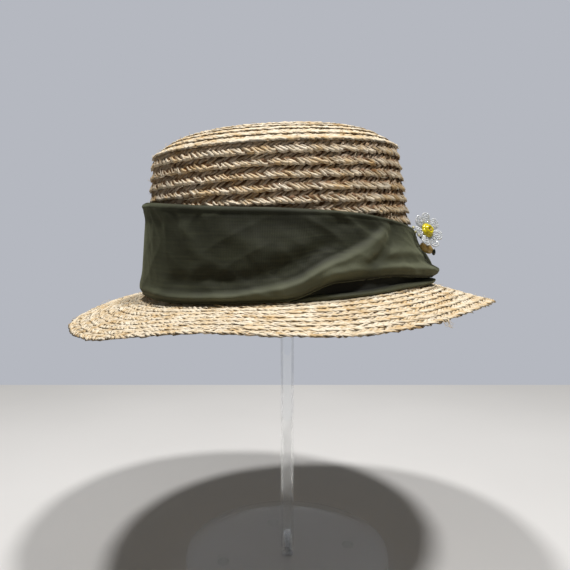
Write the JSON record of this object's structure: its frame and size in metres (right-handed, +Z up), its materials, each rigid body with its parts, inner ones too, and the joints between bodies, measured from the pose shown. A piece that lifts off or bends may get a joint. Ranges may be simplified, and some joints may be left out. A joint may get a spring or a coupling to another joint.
{
  "type": "straw boater hat on a rod stand",
  "caption": "Plaited straw boater hat with a drooping brim, a wide folded cloth band and a small beaded flower, held on a clear rod stand with a round foot.",
  "frame": {"origin": "on the floor under the middle of the brim; the rod stands 4.8 mm to its right", "axes": "+Z up, +X to the end of the hat with the flower, +Y to the far side; the view of the picture looks along +Y"},
  "size_m": [0.3042, 0.2805, 0.3283],
  "materials": {
    "straw": "matte plaited straw",
    "cloth": "matte woven cotton, dark olive",
    "clear_acrylic": "clear polished acrylic",
    "steel": "bright",
    "clear_glass_beads": "clear and white glass seed beads",
    "yellow_beads": "opaque yellow glass beads",
    "amber_glass": "amber glass",
    "dark_glass": "dark green glass"
  },
  "bodies": {
    "root": {"crown_side": "straw", "crown_top": "straw", "brim": "straw", "scarf_band": "cloth", "scarf_hem": "cloth", "scarf_tie": "cloth", "flower_petal_1": "clear_glass_beads", "flower_petal_2": "clear_glass_beads", "flower_petal_3": "clear_glass_beads", "flower_petal_4": "clear_glass_beads", "flower_petal_5": "clear_glass_beads", "flower_petal_6": "clear_glass_beads", "flower_petal_7": "clear_glass_beads", "flower_centre": "yellow_beads", "flower_back": "cloth", "flower_drop": "amber_glass", "flower_drop_end": "dark_glass", "stand_disc": "clear_acrylic", "stand_rod": "clear_acrylic", "stand_cap": "clear_acrylic", "stand_screw": "steel", "stand_foot_1": "clear_acrylic", "stand_foot_2": "clear_acrylic", "stand_foot_3": "clear_acrylic", "stand_foot_4": "clear_acrylic"}
  },
  "joints": []
}
